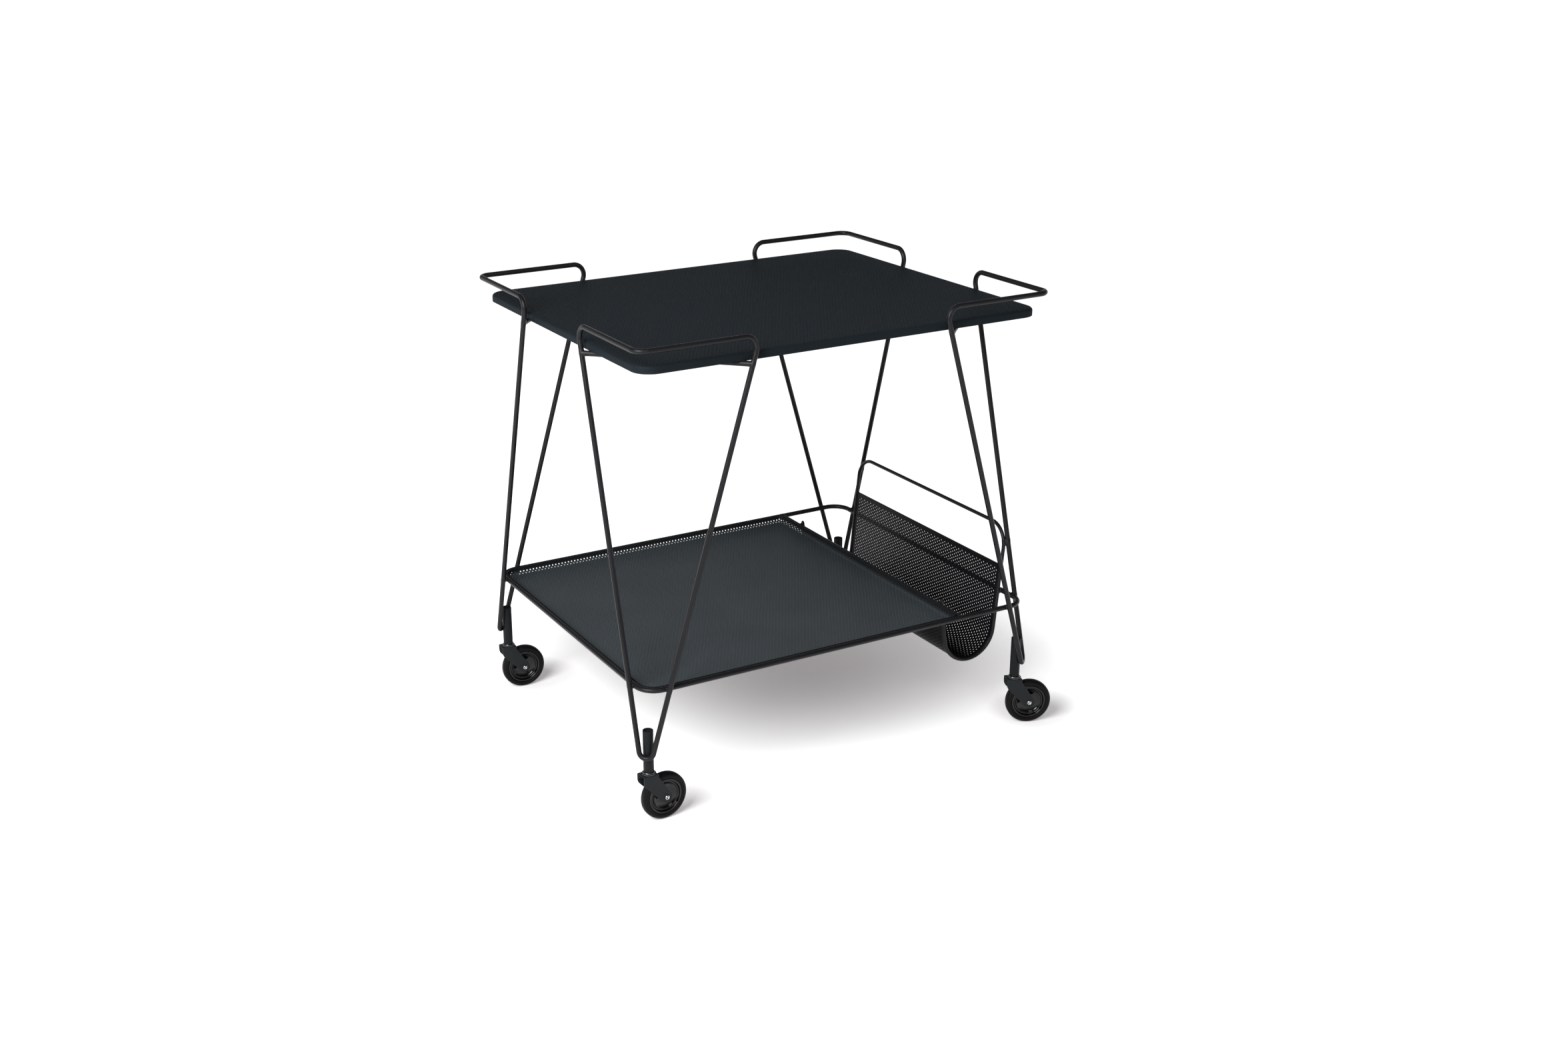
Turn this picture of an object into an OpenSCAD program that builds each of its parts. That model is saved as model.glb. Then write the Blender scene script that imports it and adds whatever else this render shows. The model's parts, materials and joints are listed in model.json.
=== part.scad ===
// Two-tier serving trolley of welded round rod and perforated sheet steel, with a magazine rack and four casters.
// X runs along the trolley, Y across it and Z up. The origin is on the floor, under the middle of the whole trolley.

/* [Placing] */
// Place of the frame's middle along X: all four wheels trail towards +X, so it lies behind the trolley's middle
frame_x = -22; // [-40:1:40]

/* [Handles] */
// Length between the centre lines of the two end handles
handle_l = 700; // [620:1:900]
// Width between the centre lines of the two side handles
handle_w = 568; // [500:1:700]
// Height of the handles' centre line above the floor
handle_h = 726; // [650:1:850]
// Length of each handle along the trolley, from its corner to its leg
handle_run_x = 192; // [120:1:240]
// Length of each handle across the trolley, from its corner to its leg
handle_run_y = 190; // [120:1:220]
// Bend radius of the handles, on the rod's centre line
handle_bend_r = 18; // [12:0.5:30]

/* [Legs] */
// Diameter of the frame's rod
rod_d = 8; // [6:0.5:10]
// Distance along the trolley from a handle's corner out to the point where its two legs' lines meet
foot_out_l = 3; // [-30:0.5:60]
// Distance across the trolley from a handle's corner out to that point; below zero it lies further in
foot_out_w = -2; // [-30:0.5:60]
// Height at which the straight legs' lines meet, below the rounded bottom
foot_meet_h = 64; // [55:1:90]
// Bend radius at the loops' bottoms, on the rod's centre line
foot_bend_r = 11.5; // [9:0.5:14]
// Depth to which crossing rods sink into one another at a weld
weld_set = 0.4; // [0.2:0.1:0.6]

/* [Top tray] */
// Drop from the handles' centre line to the tray's top
tray_drop = 25; // [18:1:60]
// Gap between the tray's edge and the legs
tray_gap = 5; // [3:0.5:12]
// Height of the tray's turned-down edge
tray_skirt_h = 11.5; // [8:0.5:30]
// Corner radius of the tray, seen from above
tray_corner_r = 29; // [15:1:60]
// Radius of the fold at the tray's edge
tray_fold_r = 4; // [2:0.5:6]
// Thickness of the sheet steel
sheet_t = 1.2; // [0.8:0.1:1.6]
// Number of openings along each tray; each opening stands for a patch of the sheet's small punched holes
grid_count = 12; // [4:1:12]
// Width of an opening as a share of the distance between openings; its square is the share of the floor left open
grid_share = 0.58; // [0.3:0.02:0.8]

/* [Lower tray] */
// Height of the hoop's centre line above the floor
hoop_h = 215; // [190:1:300]
// Corner radius of the hoop, on the rod's centre line
hoop_corner_r = 30; // [20:1:60]
// Depth from the hoop's centre line to the tray's floor
pan_depth = 7; // [5:0.5:20]
// Radius of the fold round the tray's floor
pan_fold_r = 8; // [3:0.5:10]

/* [Magazine rack] */
// Distance between the centre lines of the cross rod and the hoop's end; the rack hangs between them
rack_space = 125.7; // [105:0.1:195]
// Diameter of the rack's rod
rack_rod_d = 6; // [4:0.5:7]
// Radius of the rack's round bottom, on the rod's centre line
rack_bottom_r = 49.2; // [38:0.1:52]
// Outward lean of the rack's outer side, in degrees
rack_lean = 5.2; // [5:0.1:7]
// Lean of the rack's inner side, in degrees
rack_inner_lean = 7.4; // [5:0.1:9]
// Height of the rack rod's top stretch
rack_top_h = 325.5; // [310:0.5:360]
// Height of the rack sheet's top edge
rack_sheet_h = 260; // [240:1:280]
// Bend radius at the rack rod's two top corners
rack_corner_r = 36; // [20:1:45]
// Width of the folded hem along the rack sheet's top edge
rack_hem_w = 6; // [4:0.5:12]
// Length by which the rack rod's ends stand above the hoop's centre line
rack_end_rise = 5.5; // [3:0.5:10]

/* [Caster tubes] */
// Outer diameter of the caster tubes
tube_d = 16; // [14:0.5:20]
// Bore of the caster tubes
tube_bore = 13; // [10:0.5:13]
// Height of the tubes' lower ends above the floor
tube_h = 84.5; // [80:0.5:92]
// Length of the caster tubes
tube_l = 67.5; // [50:0.5:90]

/* [Casters] */
// Diameter of the wheels
wheel_d = 75; // [60:1:76]
// Width of the tyres
tyre_w = 16; // [12:0.5:20]
// Diameter of the wheels' cores, under the tyres
core_d = 57; // [50:0.5:58]
// Distance of the axle behind the swivel's centre line
trail = 25; // [20:0.5:30]
// Diameter of the axle bolts
axle_d = 6; // [5:0.5:8]
// Diameter of the swivel stems
stem_d = 8; // [6:0.5:9]
// Thickness of the forks' sheet steel
fork_t = 1.6; // [1.2:0.1:2.2]
// Gap between the tyres and the forks' cheeks
fork_gap = 0.9; // [0.5:0.1:2]
// Rest angle of the front left caster, from +X
turn_front_left = 4; // [-180:1:180]
// Rest angle of the front right caster, from +X
turn_front_right = -22; // [-180:1:180]
// Rest angle of the rear left caster, from +X
turn_rear_left = -4; // [-180:1:180]
// Rest angle of the rear right caster, from +X
turn_rear_right = -10; // [-180:1:180]

/* [Hidden] */
$fn = 64;
// Radial clearance of the swivel stems and of the wheels' bushes
run_clear = 0.06;
// Gap between faces that turn past each other
face_gap = 0.3;
// Swelling of a bent rod's diameter in its bends, and the length by which the straights reach into them
bend_swell = 0.12;
bend_lap = 0.3;
// Length by which a straight rod stops short of the centre line of the rod that it is welded to
end_short = 1;
// Length by which a cut runs past the faces that it opens
cut_over = 1;
// Half sizes of the handles' rectangle and of the legs' meeting points
hand = [handle_l / 2, handle_w / 2];
foot = hand + [foot_out_l, foot_out_w];
// Top tray: half size, top, and the height of the braces that carry it
tray_half = [hand.x - rod_d / 2 - tray_gap, hand.y - rod_d / 2 - tray_gap];
tray_top = handle_h - tray_drop;
brace_h = tray_top - tray_skirt_h - rod_d / 2 + weld_set;
// Place of the legs in plan at a height: the x leg comes down from the long handle, the y leg from the short one
function fall(z) = (handle_h - z) / (handle_h - foot_meet_h);
function x_leg(z) = let (top = [hand.x - handle_run_x, hand.y]) top + (foot - top) * fall(z);
function y_leg(z) = let (top = [hand.x, hand.y - handle_run_y]) top + (foot - top) * fall(z);
// Hoop: half size on its centre line, tucked inside the legs
hoop_half = [y_leg(hoop_h).x - rod_d + weld_set, x_leg(hoop_h).y - rod_d + weld_set];
hoop_in = [hoop_half.x - rod_d / 2, hoop_half.y - rod_d / 2];
// Distance of the cross rod from the frame's middle
cross_x = hoop_half.x - rack_space;
// Gap between a sheet's edge or lip and the rod that it is welded to
sheet_gap = 0.02;
// Height by which a drawn arc stands over the flats that run into it, so that they cross cleanly
arc_proud = 0.03;
// Depth of the hem's upper edge under the edge of the sheet that it is folded from
hem_drop = 0.1;
// Lower tray: floor and lip heights
pan_floor = hoop_h - pan_depth - sheet_t;
pan_top = hoop_h + rod_d / 2;
// Corner radius of the lower tray at the cross rod, a touch more than its fold
pan_small_over = 2;
pan_small_r = pan_fold_r + pan_small_over;
// Rack: the outer side touches the hoop, the inner side the cross rod
rack_touch = (rod_d + rack_rod_d) / 2 - weld_set;
rack_out_x = frame_x + hoop_half.x - rack_touch;
rack_in_x = frame_x + cross_x + rack_touch;
rack_up_out = [sin(rack_lean), cos(rack_lean)];
rack_up_in = [-sin(rack_inner_lean), cos(rack_inner_lean)];
rack_n_out = [rack_up_out.y, -rack_up_out.x];
rack_n_in = [-rack_up_in.y, rack_up_in.x];
// Depth under the hoop at which the two sides' lines would meet, and that point in the XZ plane
rack_meet_drop = (rack_out_x - rack_in_x) / (tan(rack_lean) + tan(rack_inner_lean));
rack_meet = [rack_out_x - rack_meet_drop * tan(rack_lean), hoop_h - rack_meet_drop];
rack_half_angle = (rack_lean + rack_inner_lean) / 2;
rack_mid = [sin(rack_lean - rack_half_angle), cos(rack_lean - rack_half_angle)];
// The bottom's bend is limited by its sides, which stay straight for some way below the hoop
rack_side_l = 10;
rack_bend_r = min(rack_bottom_r, (rack_meet_drop - rack_side_l) * sin(rack_half_angle) / rack_mid.y);
rack_centre_l = rack_bend_r / sin(rack_half_angle);
rack_centre = rack_meet + rack_mid * rack_centre_l;
// Points of the rack's sides at given heights
function rack_out(z) = [rack_out_x + (z - hoop_h) * tan(rack_lean), z];
function rack_in(z) = [rack_in_x - (z - hoop_h) * tan(rack_inner_lean), z];
// The rod's top corners lean on the y legs: half width of the rack from that contact
rack_corner_z = rack_top_h - rack_corner_r;
leg_slope = atan((foot.y - hand.y + handle_run_y) / (handle_h - foot_meet_h));
rack_leg_z = rack_corner_z + rack_corner_r * sin(leg_slope);
rack_leg_dx = frame_x + y_leg(rack_leg_z).x - rack_out(rack_leg_z).x;
rack_leg_gap = 0.1;
rack_leg_l = (rod_d + rack_rod_d) / 2 + rack_leg_gap;
rack_leg_dy = sqrt(pow(rack_leg_l, 2) - pow(min(rack_leg_dx, rack_leg_l), 2));
rack_half_w = y_leg(rack_corner_z).y + rack_corner_r - (rack_corner_r + rack_leg_dy) / cos(leg_slope);
// Loop bottoms: half the angle between the legs, the bottom's lowest centre point, and the way from it to the tube
leg_a = concat(x_leg(handle_h) - foot, handle_h - foot_meet_h);
leg_b = concat(y_leg(handle_h) - foot, handle_h - foot_meet_h);
leg_half_angle = acos(unit(leg_a) * unit(leg_b)) / 2;
foot_rise = foot_bend_r / sin(leg_half_angle) - foot_bend_r;
foot_low = concat(foot, foot_meet_h) + unit(unit(leg_a) + unit(leg_b)) * foot_rise;
foot_side = let (n = cross(leg_a, leg_b)) unit([abs(n.x), abs(n.y)]);
tube_at = [foot_low.x, foot_low.y] - foot_side * ((rod_d + tube_d) / 2 - weld_set);
// Plug sleeve in the tube: depth of its upper end below the tube's, and the depth of its blind hole for the stem
sleeve_drop = 3;
stem_l = 40;
// Bearing cup under the tube, and the riveted head of the stem under the fork's top
cup_d = 22;
cup_t = 3.2;
head_d = 13;
head_t = 2.4;
// Fork: top, half width, reach of its top in front of and behind the swivel, and depth of the cheeks' square part there
fork_top = tube_h - cup_t - face_gap;
fork_half_w = tyre_w / 2 + fork_gap + fork_t;
fork_front = 14;
fork_back = 11.5;
fork_front_drop = 15;
fork_back_drop = 6;
// Radius of the cheeks' round lower ends, and the heads of the axle bolt on their outsides
boss_r = 9;
axle_head_d = 9;
axle_head_t = 2;
axle_z = wheel_d / 2;
// Bush: wall thickness, radius and the gap to the fork at each end
bush_wall = 1.5;
bush_r = axle_d / 2 + run_clear + bush_wall;
hub_gap = 0.3;
// Wheel core: depth of its rim under the tyre's sides, the hub in the middle, and the dished ring between hub and rim
rim_inset = 1;
hub_r = 8;
rim_w = 4.5;
dish_slope = 3;
web_t = 4;
// Radius of the tyre's rounded shoulders
tyre_shoulder_r = 6;
// Corner signs and rest angles
front_left = [-1, -1, turn_front_left];
front_right = [1, -1, turn_front_right];
rear_left = [-1, 1, turn_rear_left];
rear_right = [1, 1, turn_rear_right];
corners = [front_left, front_right, rear_left, rear_right];

function unit(v) = v / norm(v);
// Length that a bend of radius r takes from each side of the corner q between p and s
function bend_cut(p, q, s, r) = r / tan(acos(unit(p - q) * unit(s - q)) / 2);

// Places a child whose own X, Y and Z axes are a, b and c, with its origin at o
module placed(a, b, c, o) {
  multmatrix([[a.x, b.x, c.x, o.x], [a.y, b.y, c.y, o.y], [a.z, b.z, c.z, o.z], [0, 0, 0, 1]]) children();
}

// Straight round rod from p to q
module rod(p, q, d) {
  c = unit(q - p);
  a = unit(cross(abs(c.z) < 0.9 ? [0, 0, 1] : [0, 1, 0], c));
  placed(a, cross(c, a), c, p) cylinder(d = d, h = norm(q - p));
}

// Bend of a round rod at the corner q, on the way from p to s
module rod_bend(p, q, s, r, d) {
  u = unit(p - q);
  v = unit(s - q);
  half = acos(u * v) / 2;
  centre = q + unit(u + v) * r / sin(half);
  a = unit(q + u * r / tan(half) - centre);
  c = unit(cross(a, q + v * r / tan(half) - centre));
  placed(a, cross(c, a), c, centre)
    rotate_extrude(angle = 180 - 2 * half) translate([r, 0]) circle(d = d + bend_swell);
}

// Bent rod through the points, with a bend radius at each; a closed one joins its last point to its first
module bent_rod(points, radii, d, closed = false) {
  n = len(points);
  first_bend = closed ? 0 : 1;
  last = closed ? n - 1 : n - 2;
  function at(i) = points[(i + n) % n];
  function reach(i) = !closed && (i == 0 || i == n - 1) ? 0
    : bend_cut(at(i - 1), at(i), at(i + 1), radii[i]) - bend_lap;
  for (i = [0 : last]) {
    way = unit(at(i + 1) - at(i));
    rod(at(i) + way * reach(i), at(i + 1) - way * reach((i + 1) % n), d);
  }
  for (i = [first_bend : last]) rod_bend(at(i - 1), at(i), at(i + 1), radii[i], d);
}

// Point of a corner, mirrored by the corner's signs about the frame's middle
function corner_point(c, p, z) = [frame_x + c.x * p.x, c.y * p.y, z];

// Frame

// One closed loop: handle corner, long handle, x leg, bottom, y leg, short handle
module corner_loop(c) {
  points = [
    corner_point(c, hand, handle_h),
    corner_point(c, x_leg(handle_h), handle_h),
    corner_point(c, foot, foot_meet_h),
    corner_point(c, y_leg(handle_h), handle_h)
  ];
  color("#1c1c1f") bent_rod(points, [handle_bend_r, handle_bend_r, foot_bend_r, handle_bend_r], rod_d, true);
}

// Straight frame rod between the centre lines of the rods that it is welded to, at p and q
module welded_rod(p, q) {
  way = unit(q - p) * end_short;
  rod(p + way, q - way, rod_d);
}

module tray_brace(c) {
  color("#1c1c1f") difference() {
    welded_rod(corner_point(c, x_leg(brace_h), brace_h), corner_point(c, y_leg(brace_h), brace_h));
    corner_loop(c);
  }
}

module caster_tube(c) {
  color("#1c1c1f") difference() {
    translate(corner_point(c, tube_at, tube_h)) difference() {
      cylinder(d = tube_d, h = tube_l);
      translate([0, 0, -cut_over]) cylinder(d = tube_bore, h = tube_l + 2 * cut_over);
    }
    corner_loop(c);
  }
}

module hoop_ring() {
  points = [for (s = [[1, 1], [-1, 1], [-1, -1], [1, -1]]) corner_point(s, hoop_half, hoop_h)];
  bent_rod(points, [for (i = [0 : 3]) hoop_corner_r], rod_d, true);
}

module cross_bar() {
  x = frame_x + cross_x;
  welded_rod([x, -hoop_half.y, hoop_h], [x, hoop_half.y, hoop_h]);
}

module lower_hoop() {
  color("#1c1c1f") difference() {
    hoop_ring();
    for (c = corners) corner_loop(c);
  }
}

module cross_rod() {
  color("#1c1c1f") difference() {
    cross_bar();
    hoop_ring();
  }
}

// Sheet steel

// Cross-section of a pan's edge: a floor from the axis out, a fold, and an upright lip whose outer face is at reach
module pan_edge(reach, h, fold_r, t) {
  difference() {
    intersection() {
      pan_fill(reach, h, fold_r, 0);
      square([reach, h]);
    }
    pan_fill(reach, h + cut_over, fold_r, t);
  }
}

// The space inside that cross-section, or its whole outline when t is 0
module pan_fill(reach, h, fold_r, t) {
  translate([0, t]) square([reach - fold_r, h - t]);
  translate([0, fold_r]) square([reach - t, h - fold_r]);
  translate([reach - fold_r, fold_r]) circle(fold_r - t);
}

// Folded edge along the line from p to q, with the pan on the left of it
module pan_side(p, q, h, fold_r, t) {
  way = [(q - p).x, (q - p).y, 0] / norm(q - p);
  out = [way.y, -way.x, 0];
  placed(out, [0, 0, 1], -way, [q.x, q.y, 0]) linear_extrude(norm(q - p)) intersection() {
    translate([-2 * fold_r, 0]) pan_edge(2 * fold_r, h, fold_r, t);
    translate([-fold_r, 0]) square([fold_r, h]);
  }
}

// Sheet pan with its floor down, from x0 to x1 and half_w to each side; r0 and r1 are the corner radii at x0 and x1
module pan(x0, x1, half_w, r0, r1, h, fold_r, t) {
  a = [x0 + r0, -half_w + r0];
  b = [x1 - r1, -half_w + r1];
  c = [x1 - r1, half_w - r1];
  d = [x0 + r0, half_w - r0];
  in_y = half_w - fold_r;
  translate([a.x, a.y, 0]) rotate([0, 0, 180]) rotate_extrude(angle = 90) pan_edge(r0, h, fold_r, t);
  translate([b.x, b.y, 0]) rotate([0, 0, 270]) rotate_extrude(angle = 90) pan_edge(r1, h, fold_r, t);
  translate([c.x, c.y, 0]) rotate_extrude(angle = 90) pan_edge(r1, h, fold_r, t);
  translate([d.x, d.y, 0]) rotate([0, 0, 90]) rotate_extrude(angle = 90) pan_edge(r0, h, fold_r, t);
  pan_side([a.x, -half_w], [b.x, -half_w], h, fold_r, t);
  pan_side([x1, b.y], [x1, c.y], h, fold_r, t);
  pan_side([c.x, half_w], [d.x, half_w], h, fold_r, t);
  pan_side([x0, d.y], [x0, a.y], h, fold_r, t);
  linear_extrude(t) difference() {
    polygon([
      a, [a.x, -in_y], [b.x, -in_y], b, [x1 - fold_r, b.y], [x1 - fold_r, c.y],
      c, [c.x, in_y], [d.x, in_y], d, [x0 + fold_r, d.y], [x0 + fold_r, a.y]
    ]);
    floor_grid(x0, x1, half_w, fold_r + (max(r0, r1) - fold_r) * (1 - sin(45)));
  }
}

// Grid of openings over a pan's floor, inside a margin that keeps it clear of the rounded corners
module floor_grid(x0, x1, half_w, margin) {
  l = x1 - x0 - 2 * margin;
  w = 2 * half_w - 2 * margin;
  rows = max(1, round(w / l * grid_count));
  step = [l / grid_count, w / rows];
  for (i = [0 : grid_count - 1], j = [0 : rows - 1])
    translate([x0 + margin + (i + 0.5) * step.x, (j + 0.5) * step.y - w / 2]) square(step * grid_share, center = true);
}

module top_tray() {
  color("#20282b") difference() {
    translate([frame_x, 0, tray_top]) mirror([0, 0, 1])
      pan(-tray_half.x, tray_half.x, tray_half.y, tray_corner_r, tray_corner_r, tray_skirt_h, tray_fold_r, sheet_t);
    for (c = corners) tray_brace(c);
  }
}

module lower_tray() {
  color("#2a3236") translate([frame_x, 0, pan_floor])
    pan(sheet_gap - hoop_in.x, cross_x - rod_d / 2 - sheet_gap, hoop_in.y - sheet_gap,
        hoop_corner_r - rod_d / 2 - sheet_gap, pan_small_r, pan_top - pan_floor, pan_fold_r, sheet_t);
}

// Magazine rack

function in_plane(p, y) = [p.x, y, p[1]];

module rack_rod() {
  end = rack_in(hoop_h + rack_end_rise);
  top = rack_out(rack_top_h);
  points = [
    in_plane(end, -rack_half_w), in_plane(rack_meet, -rack_half_w), in_plane(top, -rack_half_w),
    in_plane(top, rack_half_w), in_plane(rack_meet, rack_half_w), in_plane(end, rack_half_w)
  ];
  color("#1c1c1f") difference() {
    bent_rod(points, [0, rack_bend_r, rack_corner_r, rack_corner_r, rack_bend_r, 0], rack_rod_d);
    hoop_ring();
    cross_bar();
  }
}

// Side outline of the rack's middle layer, grown by o and with its sides made longer by over
module rack_outline(o, over) {
  top_out = rack_out(rack_sheet_h) + rack_up_out * over;
  top_in = rack_in(hoop_h + sheet_t / 2) + rack_up_in * over;
  inset = rack_bend_r / 4;
  translate(rack_centre) circle(rack_bend_r + o + arc_proud);
  polygon([
    rack_centre + rack_n_out * (rack_bend_r + o), top_out + rack_n_out * o, top_out - rack_n_out * inset,
    top_in - rack_n_in * inset, top_in + rack_n_in * o, rack_centre + rack_n_in * (rack_bend_r + o), rack_centre
  ]);
}

// Extrudes a side outline over the width between the rack rod's two sides
module rack_strip() {
  rotate([90, 0, 0]) linear_extrude(2 * rack_half_w - rack_rod_d - 2 * sheet_gap, center = true) children();
}

module rack_sheet() {
  // The hem starts inside the sheet, a touch below its edge
  out = rack_n_out * 1.5 * sheet_t;
  edge = rack_out(rack_sheet_h) - rack_up_out * hem_drop;
  hem = rack_up_out * rack_hem_w;
  flange_x = frame_x + cross_x + rod_d / 2 + sheet_gap;
  color("#202628") {
    rack_strip() difference() {
      rack_outline(sheet_t / 2, 0);
      rack_outline(-sheet_t / 2, 2 * sheet_t);
    }
    rack_strip() polygon([edge, edge + out, edge + out - hem, edge - hem]);
    rack_strip() translate([flange_x, hoop_h - sheet_t / 2]) square([rack_in_x - flange_x, sheet_t]);
  }
}

// Casters

// Turns a child from the swivel's own frame, with the wheel trailing along +X, to its corner
module at_swivel(c) {
  translate(corner_point(c, tube_at, 0)) rotate([0, 0, c[2]]) children();
}

// Moves a child to the wheel's centre, with its Z axis along the axle
module at_axle(c) {
  at_swivel(c) translate([trail, 0, axle_z]) rotate([90, 0, 0]) children();
}

module stem_sleeve(c) {
  color("#141415") at_swivel(c) translate([0, 0, tube_h]) difference() {
    cylinder(d = tube_bore, h = tube_l - sleeve_drop);
    translate([0, 0, -cut_over]) cylinder(d = stem_d, h = stem_l + cut_over);
  }
}

module swivel_stem(c) {
  foot_z = fork_top - fork_t - face_gap;
  color("#b9bcc0") at_swivel(c) {
    translate([0, 0, foot_z - head_t]) cylinder(d = stem_d, h = tube_h + stem_l - foot_z + head_t);
    translate([0, 0, foot_z - head_t]) cylinder(d = head_d, h = head_t);
  }
}

module swivel_cup(c) {
  color("#b9bcc0") at_swivel(c) translate([0, 0, tube_h - cup_t]) difference() {
    cylinder(d = cup_d, h = cup_t);
    translate([0, 0, -cut_over]) cylinder(d = stem_d, h = cup_t + 2 * cut_over);
  }
}

// Point where a line from p touches the circle of radius r round c, on the left (side 1) or right (side -1)
function touch(p, c, r, side) =
  let (v = c - p, l = norm(v), a = asin(r / l) * side, t = sqrt(l * l - r * r))
  p + [v.x * cos(a) - v.y * sin(a), v.x * sin(a) + v.y * cos(a)] / l * t;

module fork(c) {
  hub = [trail, axle_z];
  front = [-fork_front, fork_top - fork_front_drop];
  back = [fork_back, fork_top - fork_back_drop];
  color("#26282b") at_swivel(c) difference() {
    union() {
      translate([-fork_front, -fork_half_w, fork_top - fork_t])
        cube([fork_front + fork_back, 2 * fork_half_w, fork_t]);
      for (side = [-1, 1]) {
        translate([0, side * (fork_half_w - fork_t / 2), 0]) rotate([90, 0, 0])
          linear_extrude(fork_t, center = true) {
            polygon([
              [-fork_front, fork_top], front, touch(front, hub, boss_r - arc_proud, -1), hub,
              touch(back, hub, boss_r - arc_proud, 1), back, [fork_back, fork_top]
            ]);
            translate(hub) circle(boss_r);
          }
      }
    }
    translate([0, 0, fork_top - fork_t - cut_over]) cylinder(r = stem_d / 2 + run_clear, h = fork_t + 2 * cut_over);
    translate([trail, 0, axle_z]) rotate([90, 0, 0])
      cylinder(d = axle_d, h = 2 * (fork_half_w + cut_over), center = true);
  }
}

module axle_bolt(c) {
  color("#c4c7ca") at_axle(c) {
    cylinder(d = axle_d, h = 2 * fork_half_w, center = true);
    for (side = [0, 1]) mirror([0, 0, side]) translate([0, 0, fork_half_w]) cylinder(d = axle_head_d, h = axle_head_t);
  }
}

module hub_bush(c) {
  half = tyre_w / 2 + fork_gap - hub_gap;
  color("#8d8f92") at_axle(c) difference() {
    cylinder(r = bush_r, h = 2 * half, center = true);
    cylinder(r = bush_r - bush_wall, h = 2 * (half + cut_over), center = true);
  }
}

module wheel_core(c) {
  dish_r = core_d / 2 - rim_w;
  color("#101011") at_axle(c) difference() {
    cylinder(d = core_d, h = tyre_w - 2 * rim_inset, center = true);
    for (side = [0, 1]) mirror([0, 0, side]) {
      translate([0, 0, web_t / 2]) rotate_extrude()
        polygon([[hub_r, 0], [dish_r - dish_slope, 0], [dish_r, tyre_w / 2], [hub_r, tyre_w / 2]]);
    }
    cylinder(r = bush_r, h = tyre_w, center = true);
  }
}

module tyre(c) {
  outer = wheel_d / 2;
  flat = outer - tyre_shoulder_r;
  color("#1a1a1a") at_axle(c) rotate_extrude() difference() {
    union() {
      translate([core_d / 2, -tyre_w / 2]) square([flat - core_d / 2, tyre_w]);
      translate([core_d / 2, tyre_shoulder_r - tyre_w / 2]) square([outer - core_d / 2, tyre_w - 2 * tyre_shoulder_r]);
      for (side = [-1, 1]) translate([flat, side * (tyre_w / 2 - tyre_shoulder_r)]) circle(tyre_shoulder_r);
    }
    translate([0, -tyre_w]) square([core_d / 2, 2 * tyre_w]);
  }
}

corner_loop(front_left);  // corner_loop_front_left
corner_loop(front_right);  // corner_loop_front_right
corner_loop(rear_left);  // corner_loop_rear_left
corner_loop(rear_right);  // corner_loop_rear_right
tray_brace(front_left);  // tray_brace_front_left
tray_brace(front_right);  // tray_brace_front_right
tray_brace(rear_left);  // tray_brace_rear_left
tray_brace(rear_right);  // tray_brace_rear_right
caster_tube(front_left);  // caster_tube_front_left
caster_tube(front_right);  // caster_tube_front_right
caster_tube(rear_left);  // caster_tube_rear_left
caster_tube(rear_right);  // caster_tube_rear_right
top_tray();
lower_hoop();
cross_rod();
lower_tray();
rack_rod();
rack_sheet();
stem_sleeve(front_left);  // stem_sleeve_front_left
stem_sleeve(front_right);  // stem_sleeve_front_right
stem_sleeve(rear_left);  // stem_sleeve_rear_left
stem_sleeve(rear_right);  // stem_sleeve_rear_right
swivel_stem(front_left);  // swivel_stem_front_left
swivel_stem(front_right);  // swivel_stem_front_right
swivel_stem(rear_left);  // swivel_stem_rear_left
swivel_stem(rear_right);  // swivel_stem_rear_right
swivel_cup(front_left);  // swivel_cup_front_left
swivel_cup(front_right);  // swivel_cup_front_right
swivel_cup(rear_left);  // swivel_cup_rear_left
swivel_cup(rear_right);  // swivel_cup_rear_right
fork(front_left);  // fork_front_left
fork(front_right);  // fork_front_right
fork(rear_left);  // fork_rear_left
fork(rear_right);  // fork_rear_right
axle_bolt(front_left);  // axle_bolt_front_left
axle_bolt(front_right);  // axle_bolt_front_right
axle_bolt(rear_left);  // axle_bolt_rear_left
axle_bolt(rear_right);  // axle_bolt_rear_right
hub_bush(front_left);  // hub_bush_front_left
hub_bush(front_right);  // hub_bush_front_right
hub_bush(rear_left);  // hub_bush_rear_left
hub_bush(rear_right);  // hub_bush_rear_right
wheel_core(front_left);  // wheel_core_front_left
wheel_core(front_right);  // wheel_core_front_right
wheel_core(rear_left);  // wheel_core_rear_left
wheel_core(rear_right);  // wheel_core_rear_right
tyre(front_left);  // tyre_front_left
tyre(front_right);  // tyre_front_right
tyre(rear_left);  // tyre_rear_left
tyre(rear_right);  // tyre_rear_right
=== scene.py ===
# %% [markdown]
# # A serving trolley of black rod and punched sheet steel
# The trolley stands on four casters. Four closed loops of bent steel rod are its legs and handles, a hoop
# of the same rod ties them together low down, and the trays and the magazine rack are punched sheet steel.
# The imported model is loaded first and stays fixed: every new piece takes its place from the same sizes.

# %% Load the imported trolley
import json
import math

import bmesh
import bpy
from mathutils import Matrix, Vector


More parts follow.
